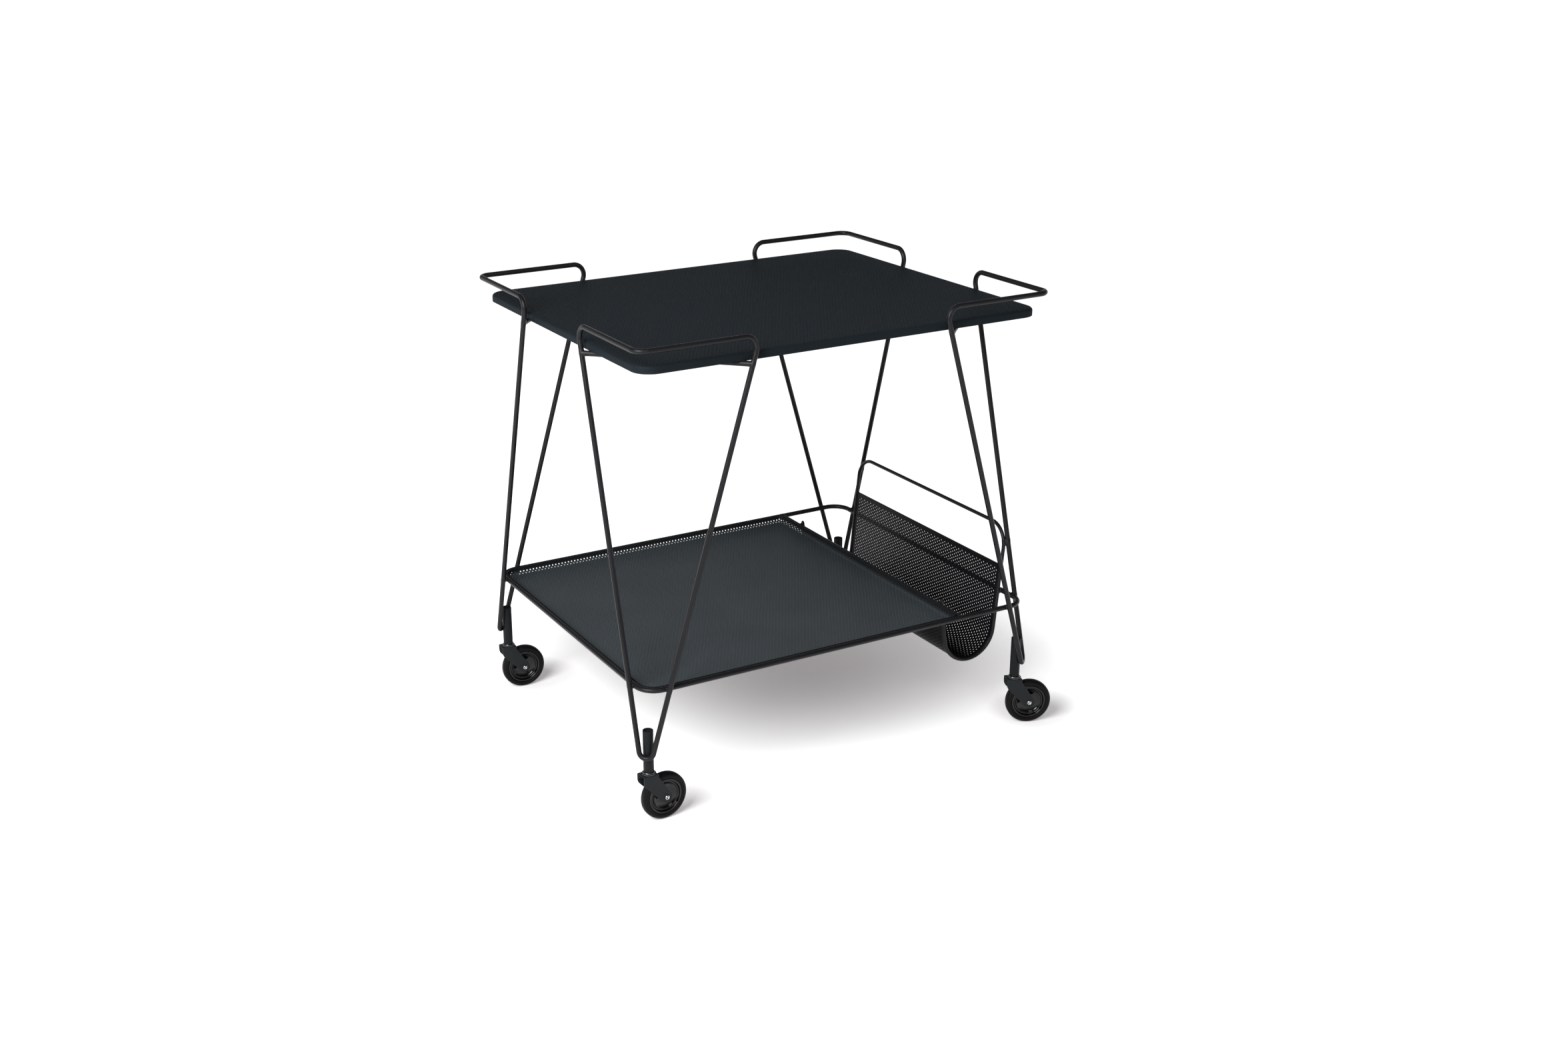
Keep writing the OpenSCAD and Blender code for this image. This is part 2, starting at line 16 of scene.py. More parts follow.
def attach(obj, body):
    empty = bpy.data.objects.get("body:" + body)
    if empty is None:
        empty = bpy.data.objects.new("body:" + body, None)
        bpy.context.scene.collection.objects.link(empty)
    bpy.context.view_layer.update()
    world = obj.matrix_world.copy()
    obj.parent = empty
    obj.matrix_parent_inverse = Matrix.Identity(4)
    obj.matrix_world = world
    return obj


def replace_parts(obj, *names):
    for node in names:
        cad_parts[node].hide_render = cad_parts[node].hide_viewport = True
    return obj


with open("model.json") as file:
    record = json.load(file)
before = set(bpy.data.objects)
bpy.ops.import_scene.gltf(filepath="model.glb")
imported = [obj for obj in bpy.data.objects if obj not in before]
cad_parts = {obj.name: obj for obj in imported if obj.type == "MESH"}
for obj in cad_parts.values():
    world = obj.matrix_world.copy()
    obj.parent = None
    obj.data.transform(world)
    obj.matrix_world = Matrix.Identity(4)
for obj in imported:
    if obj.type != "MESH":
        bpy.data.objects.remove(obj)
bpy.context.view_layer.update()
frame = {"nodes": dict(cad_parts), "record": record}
nodes = frame["nodes"]

# %% [markdown]
# ## The camera
# The photograph was taken from above the trolley's left front corner. The camera's place and turn were
# fitted to the rods' ends and the wheels, so the scene can use them as plain numbers. The picture is a
# crop, so its middle isn't the lens's middle, and the small shift stands for that.

# %% Stand the camera at the photograph's view
picture = (2352, 1568)
lens_middle = (1013.9, 798.6)
focal_pixels = 2637.9
sensor = 36
right = Vector((0.8837, -0.4678, -0.0139)).normalized()
forward = Vector((0.4341, 0.8305, -0.349)).normalized()
up = right.cross(forward).normalized()
right = forward.cross(up)
eye = Vector((-1.3923, -2.3406, 1.3232))

camera_data = bpy.data.cameras.new("camera")
camera_data.sensor_width = sensor
camera_data.lens = focal_pixels / picture[0] * sensor
camera_data.shift_x = 0.5 - lens_middle[0] / picture[0]
camera_data.shift_y = (lens_middle[1] - picture[1] / 2) / picture[0]
camera = bpy.data.objects.new("camera", camera_data)
camera.matrix_world = Matrix.Translation(eye) @ Matrix((right, up, -forward)).transposed().to_4x4()
bpy.context.scene.collection.objects.link(camera)
bpy.context.scene.camera = camera
bpy.context.scene.view_settings.view_transform = "Standard"
print("lens", round(camera_data.lens, 2), "mm, shift", round(camera_data.shift_x, 3))

# %% [markdown]
# ## Wiring nodes in plain sums
# Both the finishes and the punched sheets are trees of nodes. Placing and linking each Math node by hand
# hides what is worked out, so a small class stands for a socket: a sum written in Python adds the Math
# nodes for it. Every other node comes from one method, which sets its options first and then its sockets.

# %% A socket that can be used in sums
class Wire:
    """An output socket of a node tree."""

    def __init__(self, tree, socket):
        self.tree = tree
        self.socket = socket

    def maths(self, operation, *others):
        return self.tree.maths(operation, self, *others)

    def __add__(self, other):
        return self.maths("ADD", other)

    def __sub__(self, other):
        return self.maths("SUBTRACT", other)

    def __rsub__(self, other):
        return self.tree.maths("SUBTRACT", other, self)

    def __mul__(self, other):
        return self.maths("MULTIPLY", other)

    def __truediv__(self, other):
        return self.maths("DIVIDE", other)

    def __mod__(self, other):
        return self.maths("FLOORED_MODULO", other)

    def __lt__(self, other):
        return self.maths("LESS_THAN", other)

    def __gt__(self, other):
        return self.maths("GREATER_THAN", other)

    __radd__ = __add__
    __rmul__ = __mul__

    def output(self, name):
        """Another output of the same node."""
        return Wire(self.tree, self.socket.node.outputs[name])


class Tree:
    """Adds nodes to a material's or a modifier's tree."""

    def __init__(self, nodes_and_links):
        self.tree = nodes_and_links
        self.tree.nodes.clear()

    def put(self, kind, options=None, sockets=None, out=0):
        """One node: its options first, then a value, a wire or a list of wires for each socket."""
        node = self.tree.nodes.new(kind)
        for name, value in (options or {}).items():
            setattr(node, name, value)
        for name, value in (sockets or {}).items():
            for one in value if isinstance(value, list) else [value]:
                if isinstance(one, Wire):
                    self.tree.links.new(one.socket, node.inputs[name])
                else:
                    node.inputs[name].default_value = one
        return Wire(self, node.outputs[out]) if len(node.outputs) else None

    def maths(self, operation, *values):
        return self.put("ShaderNodeMath", {"operation": operation}, dict(enumerate(values)))


print("sockets ready")

# %% [markdown]
# ## Floor, backdrop and lamps
# The photograph shows the trolley on white, with a soft shadow that falls to the right and back, darkest
# under the rack. The floor is a real surface that takes the shadow. What the lens sees of it gets a light
# of its own, so that it comes out white round the shadow without more light on the trolley. That light
# fades in a wide oval under the trolley and in a small pool at each wheel, where the shadow has to show.
# The world is a white backdrop up to a dim ceiling, and the lacquer's dark and light bands are these two
# mirrored.

# %% Lay the floor and light the room
def seen_rays(tree):
    """1 for rays from the lens, a mirror or glass, and 0 for light that spreads."""
    path = tree.put("ShaderNodeLightPath")
    lens_or_mirror = path.output("Is Camera Ray").maths("MAXIMUM", path.output("Is Glossy Ray"))
    return lens_or_mirror.maths("MAXIMUM", path.output("Is Transmission Ray"))


floor_mesh = bpy.data.meshes.new("floor")
reach = 40.0
floor_corners = [(-reach, -reach, 0), (reach, -reach, 0), (reach, reach, 0), (-reach, reach, 0)]
floor_mesh.from_pydata(floor_corners, [], [(0, 1, 2, 3)])
floor = bpy.data.objects.new("floor", floor_mesh)
bpy.context.scene.collection.objects.link(floor)
floor_paint = bpy.data.materials.new("floor")
floor_paint.use_nodes = True
tree = Tree(floor_paint.node_tree)
place = tree.put("ShaderNodeTexCoord").output("Object")
oval_middle = (0.137, 0.214, 0)
oval_turn = 0.302
oval_size = (0.374, 0.493, 1)
oval_edge = 2.163
pool_spots = ((-0.3, -0.245, 0), (0.37, -0.255, 0), (-0.3, 0.285, 0), (0.37, 0.28, 0))
pool_start = 0.03
pool_end = 0.15
turned_place = tree.put("ShaderNodeMapping", {"vector_type": "TEXTURE"}, {
    "Vector": place, "Location": oval_middle, "Rotation": (0, 0, oval_turn), "Scale": oval_size})
spot = tree.put("ShaderNodeSeparateXYZ", sockets={0: turned_place})
from_middle = spot.output("X").maths("POWER", 2.0) + spot.output("Y").maths("POWER", 2.0)
away = tree.put("ShaderNodeMapRange", {"interpolation_type": "SMOOTHSTEP"}, {
    "Value": from_middle, "From Min": 0.0, "From Max": oval_edge})
for pool_spot in pool_spots:
    distance = tree.put("ShaderNodeVectorMath", {"operation": "DISTANCE"}, {0: place, 1: pool_spot}, out=1)
    past_pool = tree.put("ShaderNodeMapRange", {"interpolation_type": "SMOOTHSTEP"}, {
        "Value": distance, "From Min": pool_start, "From Max": pool_end})
    away = away.maths("MINIMUM", past_pool)
plain = tree.put("ShaderNodeBsdfDiffuse", sockets={"Color": (0.8, 0.8, 0.8, 1)})
near_glow = (0.2, 0.184, 0.187, 1)
far_glow = (0.8, 0.8, 0.8, 1)
glow_colour = tree.put("ShaderNodeMix", {"data_type": "RGBA"}, {0: away, 6: near_glow, 7: far_glow}, out=2)
glow = tree.put("ShaderNodeEmission", sockets={"Color": glow_colour})
lit = tree.put("ShaderNodeAddShader", sockets={0: plain, 1: glow})
shown = tree.put("ShaderNodeMixShader", sockets={0: seen_rays(tree), 1: plain, 2: lit})
tree.put("ShaderNodeOutputMaterial", sockets={"Surface": shown})
floor_mesh.materials.append(floor_paint)

world = bpy.data.worlds.new("studio")
world.use_nodes = True
bpy.context.scene.world = world
tree = Tree(world.node_tree)
spread = 0.35
ceiling_glow = 0.1
direction = tree.put("ShaderNodeTexCoord").output("Generated")
height = tree.put("ShaderNodeSeparateXYZ", sockets={0: direction}).output("Z")
ceiling = tree.put("ShaderNodeMapRange", {"interpolation_type": "SMOOTHSTEP"}, {
    "Value": height, "From Min": 0.05, "From Max": 0.35})
backdrop = (1 - ceiling) * (1 - ceiling_glow) + ceiling_glow
strength = seen_rays(tree) * (backdrop - spread) + spread
white = tree.put("ShaderNodeBackground", sockets={"Color": (1, 1, 1, 1), "Strength": strength})
tree.put("ShaderNodeOutputWorld", sockets={"Surface": white})


def soft_box(name, place, aim, size, power):
    """A rectangular lamp at a place, turned to face a point."""
    data = bpy.data.lights.new(name, "AREA")
    data.shape = "RECTANGLE"
    data.size = size[0]
    data.size_y = size[1]
    data.energy = power
    lamp = bpy.data.objects.new(name, data)
    lamp.location = place
    lamp.rotation_mode = "QUATERNION"
    lamp.rotation_quaternion = (Vector(aim) - Vector(place)).to_track_quat("-Z", "Y")
    bpy.context.scene.collection.objects.link(lamp)


soft_box("key lamp", (-1.9, -1.0, 1.75), (0, 0, 0.3), (1.4, 1.4), 88)
soft_box("front lamp", (-0.6, -2.6, 2.2), (0, 0, 0.3), (1.2, 0.8), 14)

# %% [markdown]
# ## Black lacquer, zinc, plastic and rubber
# Everything on the trolley is dark, so its finishes differ in how they shine. Baked lacquer on steel has a
# fine orange peel and a satin sheen, the wheels' cores are glossy moulded plastic and the tyres are dull
# rubber. The bearing cups and the rivets' ends are zinc whose colour is darkened as painted shade. The
# trays and the rack are one paint whose colours differ as painted light and shade, and the lower tray's
# floor has a painted sheen that makes it paler than its lip. Each finish is one recipe of noise at the scale
# of the real grain, for colour, roughness and bump.

# %% Mix the finishes
def finish(name, colour, rough, grain, mottle, peel, metallic=0.0, specular=0.5, painted_sheen=None):
    """A surface finish: colour with mottle, roughness that wanders, and a bump of the grain size in metres.

    The last argument gives the paler colour of a painted sheen, and the height in metres up to which it is
    painted.
    """
    paint = bpy.data.materials.new(name)
    paint.use_nodes = True
    tree = Tree(paint.node_tree)
    place = tree.put("ShaderNodeTexCoord").output("Object")
    cloud = tree.put("ShaderNodeTexNoise", sockets={"Vector": place, "Scale": 9.0, "Detail": 4.0})
    fine = tree.put("ShaderNodeTexNoise", sockets={"Vector": place, "Scale": 1 / grain, "Detail": 2.0})
    # Noise stays near its middle, so the blend is stretched until it runs from about 0 to 1
    blend = (cloud * 0.6 + fine * 0.4) * 2.4 - 0.7
    dark = tuple(c * (1 - mottle) for c in colour) + (1,)
    pale = tuple(c * (1 + mottle) for c in colour) + (1,)
    clamped = {"data_type": "RGBA", "clamp_factor": True}
    shade = tree.put("ShaderNodeMix", clamped, {0: blend, 6: dark, 7: pale}, out=2)
    # Painted sheen: below the given height the colour turns paler, in place of a reflection seen at a low
    # angle
    if painted_sheen:
        sheen_colour, sheen_height = painted_sheen
        height = tree.put("ShaderNodeSeparateXYZ", sockets={0: place}).output("Z")
        above_sheen = tree.put("ShaderNodeMapRange", {"interpolation_type": "SMOOTHSTEP"}, {
            "Value": height + cloud * 0.002, "From Min": sheen_height, "From Max": sheen_height + 0.004})
        full_sheen = tuple(c * 1.15 for c in sheen_colour) + (1,)
        faint_sheen = tuple(c * 0.85 for c in sheen_colour) + (1,)
        mottled_sheen = tree.put("ShaderNodeMix", clamped, {0: blend, 6: faint_sheen, 7: full_sheen}, out=2)
        shade = tree.put("ShaderNodeMix", {"data_type": "RGBA"}, {0: above_sheen, 6: mottled_sheen, 7: shade}, out=2)
    gloss = (cloud + fine) * (0.3 * rough) + 0.7 * rough
    bump = tree.put("ShaderNodeBump", sockets={"Height": fine, "Strength": 1.0, "Distance": peel})
    surface = tree.put("ShaderNodeBsdfPrincipled", sockets={
        "Base Color": shade, "Roughness": gloss, "Normal": bump, "Metallic": metallic,
        "Specular IOR Level": specular})
    tree.put("ShaderNodeOutputMaterial", sockets={"Surface": surface})
    return paint


finishes = {
    "rod": finish("rod lacquer", (0.0075, 0.0075, 0.0088), 0.34, 0.0012, 0.25, 0.00003, specular=0.16),
    "tube": finish("tube lacquer", (0.0065, 0.0078, 0.0085), 0.45, 0.001, 0.2, 0.00003, specular=0.1),
    # The trays and the rack are one paint: their three colours differ as painted light and shade, and the
    # rack's is darkest
    "top_sheet": finish("top tray lacquer", (0.009, 0.0125, 0.0155), 0.58, 0.0012, 0.2, 0.00003,
                        specular=0.04),
    # The lower tray's floor gets a painted sheen up to 209.5 mm, and its lip above stays dark
    "low_sheet": finish("lower tray lacquer", (0.009, 0.0105, 0.012), 0.42, 0.0012, 0.2, 0.00003,
                        specular=0.12, painted_sheen=((0.032, 0.0385, 0.0435), 0.2095)),
    "rack_sheet": finish("rack lacquer", (0.0045, 0.0045, 0.0055), 0.42, 0.0012, 0.2, 0.00003, specular=0.1),
    "plug": finish("sleeve plastic", (0.007, 0.007, 0.0075), 0.6, 0.0009, 0.3, 0.00005, specular=0.2),
    "zinc": finish("zinc plate", (0.6, 0.61, 0.63), 0.24, 0.0007, 0.2, 0.00002, metallic=1.0),
    # The cups and the rivets are zinc, and their darker colours are painted shade
    "cup": finish("zinc darkened with painted shade", (0.13, 0.13, 0.135), 0.26, 0.0007, 0.3, 0.00002, metallic=1.0),
    "rivet": finish("rivet zinc darkened with painted shade", (0.32, 0.32, 0.33), 0.2, 0.0007, 0.2, 0.00002, metallic=1.0),
    "fork": finish("fork lacquer", (0.0115, 0.0135, 0.015), 0.5, 0.001, 0.2, 0.00004, specular=0.12),
    "core": finish("core plastic", (0.0015, 0.0015, 0.0018), 0.09, 0.004, 0.25, 0.00001, specular=0.32),
    "tyre": finish("tyre rubber", (0.0034, 0.0034, 0.004), 0.5, 0.0015, 0.35, 0.00006, specular=0.09),
}
for part in frame["record"]["subparts"]:
    mesh = nodes[part["node"]].data
    mesh.materials.clear()
    mesh.materials.append(finishes[part["material_slot"]])
print(len(finishes), "finishes on", len(nodes), "solids")

# %% [markdown]
# ## Shapes grown by trees of nodes
# The rods follow a path and the sheets repeat a hole, so each is grown by a tree of Geometry Nodes. A tree
# has a named input for each size, like a drawing with its dimensions, and what it gives is then made a
# plain mesh.

# %% A tree with a named input for each size
def sized_tree(name, sizes):
    """An empty tree with an input for each size, and its inputs by name."""
    group = bpy.data.node_groups.new(name, "GeometryNodeTree")
    group.interface.new_socket("Piece", in_out="OUTPUT", socket_type="NodeSocketGeometry")
    group.interface.new_socket("Path", in_out="INPUT", socket_type="NodeSocketGeometry")
    for label in sizes:
        group.interface.new_socket(label, in_out="INPUT", socket_type="NodeSocketFloat")
    tree = Tree(group)
    entry = tree.put("NodeGroupInput")
    return tree, {label: entry.output(label) for label in ("Path", *sizes)}


def end_tree(tree, shape, slot):
    """Ends a tree in real geometry with its finish on it."""
    real = tree.put("GeometryNodeRealizeInstances", sockets={"Geometry": shape})
    painted = tree.put("GeometryNodeSetMaterial", sockets={"Geometry": real, "Material": finishes[slot]})
    tree.put("NodeGroupOutput", sockets={"Piece": painted})


def run_tree(name, tree, sizes, path=None, thickness=None):
    """A new object with the tree and its sizes and, for a sheet, the modifier that gives it thickness.

    Thickness is a pair: the sheet's thickness, and 1 or -1 for the side that it grows to, or 0 for both.
    """
    piece = bpy.data.objects.new(name, path or bpy.data.meshes.new(name))
    bpy.context.scene.collection.objects.link(piece)
    modifier = piece.modifiers.new("tree", "NODES")
    modifier.node_group = tree.tree
    for item in tree.tree.interface.items_tree:
        if item.in_out == "INPUT" and item.name in sizes:
            modifier[item.identifier] = float(sizes[item.name])
    if thickness:
        wall = piece.modifiers.new("thickness", "SOLIDIFY")
        wall.thickness, wall.offset = thickness
    return piece


def make_plain(piece, body):
    """Turns what the modifiers give into the piece's own mesh, in metres, and says what it rides on.

    The shading is smooth over edges flatter than 50 degrees.
    """
    depsgraph = bpy.context.evaluated_depsgraph_get()
    mesh = bpy.data.meshes.new_from_object(piece.evaluated_get(depsgraph), depsgraph=depsgraph)
    piece.modifiers.clear()
    mesh.transform(Matrix.Scale(0.001, 4))
    mesh.shade_smooth()
    mesh.set_sharp_from_angle(angle=math.radians(50))
    mesh.name = piece.name
    piece.data = mesh
    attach(piece, body)
    mesh.calc_loop_triangles()
    print(piece.name, len(mesh.loop_triangles), "triangles")
    return piece


print("trees ready")

# %% [markdown]
# ## The bent rods
# Every rod was bent cold round a former, so it is straight between round bends and keeps its thickness. The
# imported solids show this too, but each is made of several sections whose shading meets in faint lines. One
# sweep along the whole path has none: the tree rounds the path's corners and runs a circle along it. The
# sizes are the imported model's, in millimetres.

# %% Sweep the frame's rods
frame_middle = -22.0
handle_height = 726
brace_height = 685.9
hoop_height = 215
rod_size = 8
rod_radius = rod_size / 2
handle_bend = 18
foot_bend = 11.5
hoop_bend = 30
handle_corner = (350, 284)
foot_corner = (353, 282)
foot_height = 64
long_leg_top = (158, 284)
short_leg_top = (350, 94)
places = {"front_left": (-1, -1), "front_right": (1, -1), "rear_left": (-1, 1), "rear_right": (1, 1)}


def at_corner(corner, spot, height):
    """A point given for the rear right corner, mirrored to the corner by its signs."""
    side_x, side_y = places[corner]
    return Vector((frame_middle + side_x * spot[0], side_y * spot[1], height))


def leg_spot(top, height):
    """Where a straight leg passes a height, for the rear right corner."""
    share = (handle_height - height) / (handle_height - foot_height)
    return tuple(start + (end - start) * share for start, end in zip(top, foot_corner))


def brace_ends(corner):
    """The two ends of the brace across a loop, one on each leg."""
    spots = [leg_spot(top, brace_height) for top in (long_leg_top, short_leg_top)]
    return [at_corner(corner, spot, brace_height) for spot in spots]


rod_inputs = {"Diameter": float(rod_size), "Steps": 20.0}
rod_tree, size = sized_tree("bent rod", rod_inputs)
line = rod_tree.put("GeometryNodeMeshToCurve", sockets={"Mesh": size["Path"]})
bend_radius = rod_tree.put("GeometryNodeInputNamedAttribute", {"data_type": "FLOAT"}, {"Name": "bend"})
bent = rod_tree.put("GeometryNodeFilletCurve", {"mode": "POLY"}, {
    "Curve": line, "Count": size["Steps"], "Radius": bend_radius})
section = rod_tree.put("GeometryNodeCurvePrimitiveCircle", {"mode": "RADIUS"}, {
    "Resolution": 24, "Radius": size["Diameter"] / 2.0})
sweep = rod_tree.put("GeometryNodeCurveToMesh", sockets={
    "Curve": bent, "Profile Curve": section, "Fill Caps": True})
end_tree(rod_tree, sweep, "rod")


def bend_rod(name, node, points, bends, diameter=rod_size, closed=True):
    """A rod through the points with a bend radius at each."""
    path = bpy.data.meshes.new(name)
    count = len(points)
    straights = [(first, (first + 1) % count) for first in range(count if closed else count - 1)]
    path.from_pydata(points, straights, [])
    path.attributes.new("bend", "FLOAT", "POINT").data.foreach_set("value", bends)
    rod = run_tree(name, rod_tree, {**rod_inputs, "Diameter": diameter}, path=path)
    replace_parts(make_plain(rod, "frame"), node)


loop_bends = [handle_bend, handle_bend, foot_bend, handle_bend]
for corner in places:
    loop = [at_corner(corner, handle_corner, handle_height), at_corner(corner, long_leg_top, handle_height),
            at_corner(corner, foot_corner, foot_height), at_corner(corner, short_leg_top, handle_height)]
    bend_rod("loop_" + corner, "corner_loop_" + corner, loop, loop_bends)
    bend_rod("brace_" + corner, "tray_brace_" + corner, brace_ends(corner), [0, 0], closed=False)
hoop_half = (344.716, 274.856)
round_order = ("rear_right", "rear_left", "front_left", "front_right")
hoop_points = [at_corner(corner, hoop_half, hoop_height) for corner in round_order]
bend_rod("hoop", "lower_hoop", hoop_points, [hoop_bend] * 4)
cross_x = frame_middle + 219.016
cross_points = [(cross_x, side * hoop_half[1], hoop_height) for side in (-1, 1)]
bend_rod("cross_bar", "cross_rod", cross_points, [0, 0], closed=False)

# %% [markdown]
# The rack's rod goes down the sheet's inner side, round its bottom, up the outer side, across between the
# end legs, and back the same way. Its sides lean apart, so the bottom's bend is a little less than half a
# turn.

# %% The rack's rod
rack_out_x = frame_middle + 338.116
rack_in_x = frame_middle + 225.616
lean_out = math.radians(5.2)
lean_in = math.radians(7.4)
bottom_radius = 49.2
rack_top_bend = 36
rack_rod_foot = 220.5
rack_rod_top = 325.5
up_out = Vector((math.sin(lean_out), math.cos(lean_out)))
up_in = Vector((-math.sin(lean_in), math.cos(lean_in)))
drop = (rack_out_x - rack_in_x) / (math.tan(lean_out) + math.tan(lean_in))
meeting = Vector((rack_out_x - drop * math.tan(lean_out), hoop_height - drop))
rack_rod_size = 6
rack_rod_y = 212.84


def rack_outer(height):
    """Where the rack's outer side passes a height, as x and height."""
    return Vector((rack_out_x + (height - hoop_height) * math.tan(lean_out), height))


def rack_inner(height):
    """Where the rack's inner side passes a height, as x and height."""
    return Vector((rack_in_x - (height - hoop_height) * math.tan(lean_in), height))


side_path = [rack_inner(rack_rod_foot), meeting, rack_outer(rack_rod_top)]
rack_path = [(spot.x, -rack_rod_y, spot.y) for spot in side_path]
rack_path += [(spot.x, rack_rod_y, spot.y) for spot in reversed(side_path)]
rack_bends = [0, bottom_radius, rack_top_bend, rack_top_bend, bottom_radius, 0]
bend_rod("rack_loop", "rack_rod", rack_path, rack_bends, rack_rod_size, closed=False)

# %% [markdown]
# ## Weld beads
# The rods are joined by small welds that the lacquer has softened, so each joint has a hollow fillet and
# not a sharp crease. Short sleeves round both rods and a bead in the gap are remeshed into one skin and
# smoothed, which draws the fillet by itself. The ends of the sleeves sink into the rods.

# %% Turned shapes and finished pieces
def keep(name, mesh, body, slot, smooth_to=40):
    """Turns a bmesh into a piece that rides on a body, smooth over edges flatter than the angle."""
    data = bpy.data.meshes.new(name)
    mesh.to_mesh(data)
    mesh.free()
    data.shade_smooth()
    data.set_sharp_from_angle(angle=math.radians(smooth_to))
    data.materials.append(finishes[slot])
    piece = bpy.data.objects.new(name, data)
    bpy.context.scene.collection.objects.link(piece)
    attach(piece, body)
    return piece


def turned(mesh, outline, place, steps=64, ring=False):
    """Turns an outline about the place's Z axis, from pole to pole or as a ring.

    The outline's points are a radius and a height in millimetres.
    """
    rows = []
    for radius, height in outline:
        count = steps if radius > 0 else 1
        angles = [2 * math.pi * step / steps for step in range(count)]
        spots = [Vector((radius * math.cos(a), radius * math.sin(a), height)) for a in angles]
        rows.append([mesh.verts.new(place @ (spot / 1000)) for spot in spots])
    pairs = list(zip(rows, rows[1:])) + ([(rows[-1], rows[0])] if ring else [])
    for low, high in pairs:
        for step in range(steps):
            after = (step + 1) % steps
            corners = [low[step % len(low)], low[after % len(low)],
                       high[after % len(high)], high[step % len(high)]]
            # At a pole two corners are one point, and it is named once
            mesh.faces.new(list(dict.fromkeys(corners)))
    bmesh.ops.recalc_face_normals(mesh, faces=mesh.faces)


def placed(spot, way):
    """A place in millimetres with its Z axis along a direction, for shapes that are written in metres."""
    return Matrix.Translation(Vector(spot) / 1000) @ Vector(way).to_track_quat("Z", "Y").to_matrix().to_4x4()


print("lathe ready")

# %% Draw the beads
inset = 6.3


def sleeve(mesh, spot, way, radius, reach=8.5, swell=0.28):
    """A short sleeve round a rod that ends inside it."""
    half = [(radius + swell, 0), (radius + swell / 2, reach / 2), (radius - 0.8, reach), (0, reach + 0.5)]
    outline = [(width, -height) for width, height in reversed(half[1:])] + half
    turned(mesh, outline, placed(spot, way), steps=20)


def weld(name, joints):
    """One piece of all the beads between pairs of rods: each joint gives both rods' places, ways and radii.

    Where a rod ends on the side of another, its sleeve starts inside the other rod, and the inset is how far
    along it the sleeve's middle lies. Two rods that pass each other also get a bead in the gap between them.
    """
    mesh = bmesh.new()
    for (spot_a, way_a, radius_a), (spot_b, way_b, radius_b) in joints:
        sleeve(mesh, spot_a, way_a, radius_a)
        sleeve(mesh, spot_b, way_b, radius_b)
        gap = Vector(spot_b) - Vector(spot_a)
        if abs(gap.length - inset) > 0.1:
            touch = Vector(spot_a) + gap * radius_a / (radius_a + radius_b)
            sleeve(mesh, touch, way_a, 2.4, reach=5)
    data = bpy.data.meshes.new(name)
    mesh.to_mesh(data)
    mesh.free()
    data.transform(Matrix.Scale(1000, 4))
    data.materials.append(finishes["rod"])
    bead = bpy.data.objects.new(name, data)
    bpy.context.scene.collection.objects.link(bead)
    skin = bead.modifiers.new("skin", "REMESH")
    skin.mode = "VOXEL"
    skin.voxel_size = 0.6
    soft = bead.modifiers.new("soft", "SMOOTH")
    soft.factor = 0.5
    soft.iterations = 10
    make_plain(bead, "frame")


print("beads ready")

# %% Find the joints
along_x = (1, 0, 0)
along_y = (0, 1, 0)
leg_joints = []
rack_joints = []
long_foot = leg_spot(long_leg_top, hoop_height)
short_foot = leg_spot(short_leg_top, hoop_height)
for corner in places:
    low = at_corner(corner, foot_corner, foot_height)
    ways = [at_corner(corner, top, handle_height) - low for top in (long_leg_top, short_leg_top)]
    ends = brace_ends(corner)
    for end, way, far in zip(ends, ways, reversed(ends)):
        brace_sleeve = end + (far - end).normalized() * inset
        leg_joints.append(((end, way, rod_radius), (brace_sleeve, far - end, rod_radius)))
    long_touch = at_corner(corner, (long_foot[0], hoop_half[1]), hoop_height)
    short_touch = at_corner(corner, (hoop_half[0], short_foot[1]), hoop_height)
    leg_joints.append(((at_corner(corner, long_foot, hoop_height), ways[0], rod_radius),
                       (long_touch, along_x, rod_radius)))
    leg_joints.append(((at_corner(corner, short_foot, hoop_height), ways[1], rod_radius),
                       (short_touch, along_y, rod_radius)))
top_bend_middle = Vector((rack_rod_y - rack_top_bend, rack_rod_top - rack_top_bend))
leg_slope = math.atan2(foot_corner[1] - short_leg_top[1], handle_height - foot_height)
rack_touch = top_bend_middle + Vector((math.cos(leg_slope), math.sin(leg_slope))) * rack_top_bend
leg_by_rack = leg_spot(short_leg_top, rack_touch.y)
rack_radius = rack_rod_size / 2
for side in (-1, 1):
    rack_joints.append((((cross_x, side * hoop_half[1], hoop_height), along_x, rod_radius),
                        ((cross_x, side * (hoop_half[1] - inset), hoop_height), along_y, rod_radius)))
    hoop_end = (frame_middle + hoop_half[0], side * rack_rod_y, hoop_height)
    rack_joints.append((((rack_out_x, side * rack_rod_y, hoop_height), (up_out.x, 0, up_out.y), rack_radius),
                        (hoop_end, along_y, rod_radius)))
    cross_end = (cross_x, side * rack_rod_y, hoop_height)
    rack_joints.append((((rack_in_x, side * rack_rod_y, hoop_height), (up_in.x, 0, up_in.y), rack_radius),
                        (cross_end, along_y, rod_radius)))
    along_leg = (up_out.x, -side * math.sin(leg_slope), math.cos(leg_slope))
    on_rack = (rack_outer(rack_touch.y).x, side * rack_touch.x, rack_touch.y)
    on_leg = (frame_middle + leg_by_rack[0], side * leg_by_rack[1], rack_touch.y)
    rack_joints.append(((on_rack, along_leg, rack_radius), (on_leg, along_leg, rod_radius)))
weld("welds_legs", leg_joints)
weld("welds_rack", rack_joints)

# %% [markdown]
# ## Casters
# Each caster has a zinc bearing cup, a fork folded from sheet, a rivet through a moulded wheel and a rubber
# tyre. The round ones are turned from an outline, like work on a lathe, so every bead and groove that
# catches the light is a point in a short list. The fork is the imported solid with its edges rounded: the
# fold is wide, the cut edges fine.

